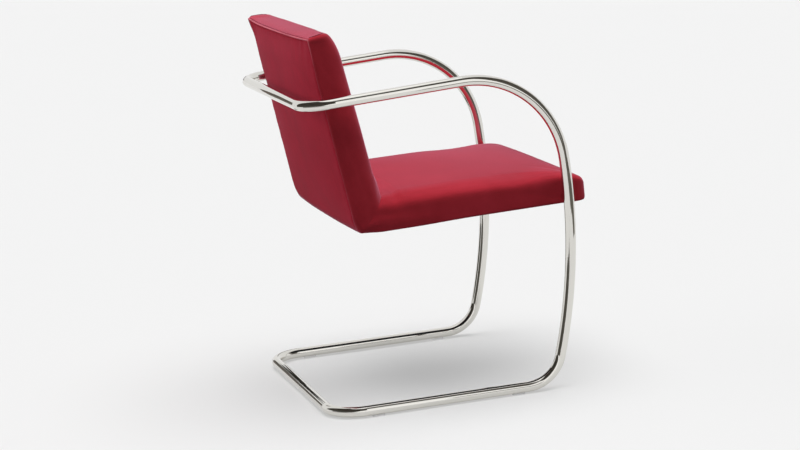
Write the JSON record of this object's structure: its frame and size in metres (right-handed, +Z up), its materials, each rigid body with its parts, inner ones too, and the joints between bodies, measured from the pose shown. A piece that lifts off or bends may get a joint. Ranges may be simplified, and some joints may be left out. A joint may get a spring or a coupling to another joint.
{
  "type": "cantilever armchair",
  "caption": "Cantilever armchair: a closed loop of polished round steel tube with bowed arms carries a slim upholstered seat and back, folded from one pad.",
  "frame": {"origin": "on the floor, in the middle of the chair's overall width and depth", "axes": "+Z up, -Y the way the chair faces, +X towards the sitter's left"},
  "size_m": [0.562, 0.5988, 0.7796],
  "materials": {
    "frame_chrome": "polished chrome plate on steel tube",
    "plain_steel": "bare drawn steel, inside the tube",
    "zinc_plated_steel": "zinc plated",
    "black_enamelled_steel": "black enamel",
    "grey_nylon": "moulded nylon",
    "crimson_velvet": "short-pile velvet",
    "black_lining": "bonded lining cloth",
    "elastic_webbing": "woven elastic webbing",
    "foam": "open-cell polyurethane foam"
  },
  "bodies": {
    "root": {"arm_boss_left": "frame_chrome", "arm_boss_right": "frame_chrome", "back_bolt_washers": "zinc_plated_steel", "back_bolts": "zinc_plated_steel", "back_foam": "foam", "back_lower_rail": "black_enamelled_steel", "back_rail_left": "black_enamelled_steel", "back_rail_right": "black_enamelled_steel", "back_top_rail": "black_enamelled_steel", "back_webbing_cross": "elastic_webbing", "back_webbing_long": "elastic_webbing", "back_webbing_screws": "zinc_plated_steel", "floor_joint_spigot": "plain_steel", "fold_gusset_left": "black_enamelled_steel", "fold_gusset_right": "black_enamelled_steel", "frame_tube_left": "frame_chrome", "frame_tube_right": "frame_chrome", "front_cover": "crimson_velvet", "front_edge_foam": "foam", "glide_front_left": "grey_nylon", "glide_front_right": "grey_nylon", "glide_rear_left": "grey_nylon", "glide_rear_right": "grey_nylon", "leg_boss_left": "frame_chrome", "leg_boss_right": "frame_chrome", "rear_cover": "crimson_velvet", "rear_foam": "foam", "seat_bolt_washers": "zinc_plated_steel", "seat_bolts": "zinc_plated_steel", "seat_foam": "foam", "seat_front_rail": "black_enamelled_steel", "seat_rail_left": "black_enamelled_steel", "seat_rail_right": "black_enamelled_steel", "seat_rear_rail": "black_enamelled_steel", "seat_webbing_cross": "elastic_webbing", "seat_webbing_long": "elastic_webbing", "seat_webbing_screws": "zinc_plated_steel", "side_foam_left": "foam", "side_foam_right": "foam", "top_edge_foam": "foam", "top_joint_spigot": "plain_steel", "underside_cover": "black_lining"}
  },
  "joints": []
}
